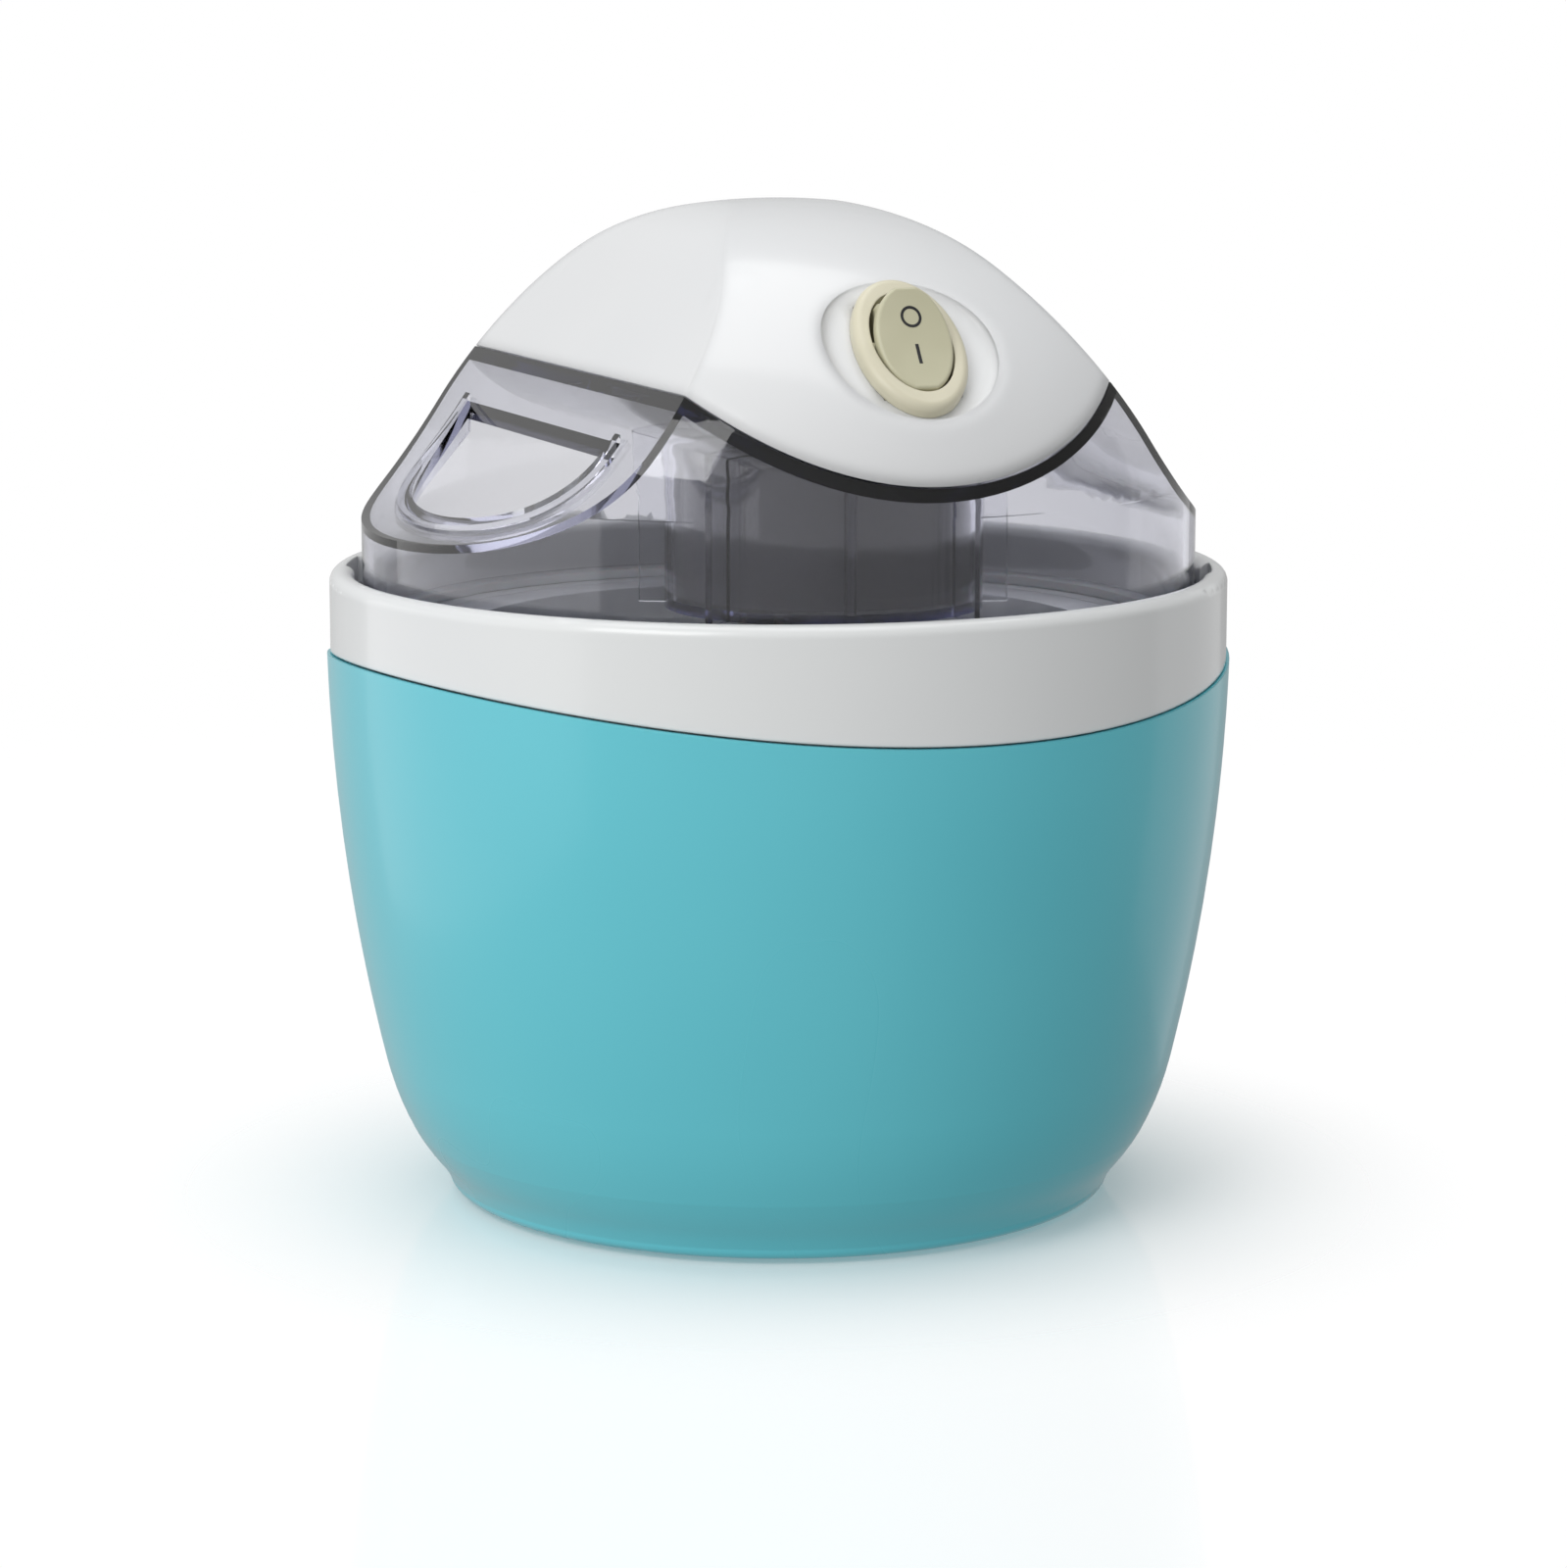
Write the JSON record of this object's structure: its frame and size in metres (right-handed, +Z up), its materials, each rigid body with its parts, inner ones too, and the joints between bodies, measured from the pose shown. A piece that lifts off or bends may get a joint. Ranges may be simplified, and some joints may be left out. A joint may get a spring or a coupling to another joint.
{
  "type": "ice cream maker",
  "caption": "Pint-size electric ice cream maker: round base, lift-out freezer bowl, paddle, clear domed lid with D-shaped filling opening, and a geared motor unit with rocker switch on top.",
  "frame": {"origin": "centre of the footprint, on the surface the feet stand on", "axes": "+Z up along the paddle's axis; the switch faces -Y, the cord inlet faces +Y and the lid's filling opening is on the -X side"},
  "size_m": [0.1662, 0.1658, 0.1835],
  "materials": {
    "teal_plastic": "gloss",
    "white_plastic": "gloss",
    "cover_plastic": "gloss",
    "smoky_clear": "clear gloss",
    "grey_plastic": "satin",
    "cream_plastic": "satin",
    "rocker_plastic": "satin",
    "black_plastic": "satin",
    "paddle_plastic": "satin",
    "bowl_plastic": "satin",
    "bowl_metal": "brushed",
    "gel": "gel",
    "seal_rubber": "matte",
    "gasket_silicone": "matte",
    "rubber": "matte",
    "screw_steel": "zinc plated",
    "plate_steel": "zinc plated",
    "shaft_steel": "ground",
    "bush_brass": "turned",
    "magnet": "ferrite",
    "armature": "wound core",
    "board": "printed board",
    "gear_nylon": "satin"
  },
  "bodies": {
    "base": {"outer_shell": "teal_plastic", "inner_housing": "white_plastic", "base_screws": "screw_steel", "rubber_feet": "rubber"},
    "freezer_bowl": {"bowl_inner": "bowl_metal", "bowl_outer": "bowl_plastic", "cooling_gel": "gel", "bowl_seal": "seal_rubber"},
    "paddle_unit": {"paddle": "paddle_plastic"},
    "gasket": {"lid_gasket": "gasket_silicone"},
    "lid_unit": {"lid": "smoky_clear"},
    "motor_unit": {"motor_cover": "cover_plastic", "motor_base": "grey_plastic", "cover_screws": "screw_steel", "gearbox_plate": "plate_steel", "gearbox_screws": "screw_steel", "gear_pins": "shaft_steel", "output_bush": "bush_brass", "motor_can": "plate_steel", "motor_magnets": "magnet", "motor_end_cap": "black_plastic", "switch_body": "cream_plastic", "switch_terminals": "bush_brass", "rectifier_board": "board", "cord_grommet": "rubber"},
    "rocker": {"switch_rocker": "rocker_plastic"},
    "rotor": {"motor_shaft": "shaft_steel", "motor_pinion": "bush_brass", "motor_armature": "armature"},
    "idler_1": {"gear_1": "gear_nylon"},
    "idler_2": {"gear_2": "gear_nylon"},
    "output_drive": {"output_gear": "gear_nylon", "output_shaft": "shaft_steel"}
  },
  "joints": [
    {"name": "bowl_lift", "type": "slide", "parent": "base", "child": "freezer_bowl", "axis": [0, 0, 1], "range_m": [0, 0.11]},
    {"name": "paddle_spin", "type": "hinge", "parent": "freezer_bowl", "child": "paddle_unit", "pos_m": [0, 0, 0.03], "axis": [0, 0, 1], "continuous": true},
    {"name": "lid_lift", "type": "slide", "parent": "freezer_bowl", "child": "gasket", "axis": [0, 0, 1], "range_m": [0, 0.11]},
    {"name": "lid_twist", "type": "hinge", "parent": "gasket", "child": "lid_unit", "pos_m": [0, 0, 0.108], "axis": [0, 0, 1], "range_deg": [0, 8.5]},
    {"name": "motor_lift", "type": "slide", "parent": "lid_unit", "child": "motor_unit", "axis": [0, 0, 1], "range_m": [0, 0.09]},
    {"name": "switch_rock", "type": "hinge", "parent": "motor_unit", "child": "rocker", "pos_m": [0, -0.06135, 0.16121], "axis": [-1, 0, 0], "range_deg": [0, 26]},
    {"name": "output_spin", "type": "hinge", "parent": "motor_unit", "child": "output_drive", "pos_m": [0, 0, 0.12], "axis": [0, 0, 1], "continuous": true},
    {"name": "gear_2_spin", "type": "hinge", "parent": "motor_unit", "child": "idler_2", "pos_m": [0.01713, 0.00799, 0.13], "axis": [0, 0, 1], "continuous": true},
    {"name": "gear_1_spin", "type": "hinge", "parent": "motor_unit", "child": "idler_1", "pos_m": [0.01984, -0.00738, 0.13], "axis": [0, 0, 1], "continuous": true},
    {"name": "motor_spin", "type": "hinge", "parent": "motor_unit", "child": "rotor", "pos_m": [0.00858, -0.00088, 0.13], "axis": [0, 0, 1], "continuous": true}
  ],
  "couplings": [
    {"joint": "paddle_spin", "follows": "output_spin", "ratio": 1},
    {"joint": "gear_2_spin", "follows": "output_spin", "ratio": -3.5},
    {"joint": "gear_1_spin", "follows": "output_spin", "ratio": 11.667},
    {"joint": "motor_spin", "follows": "output_spin", "ratio": -38.889}
  ]
}
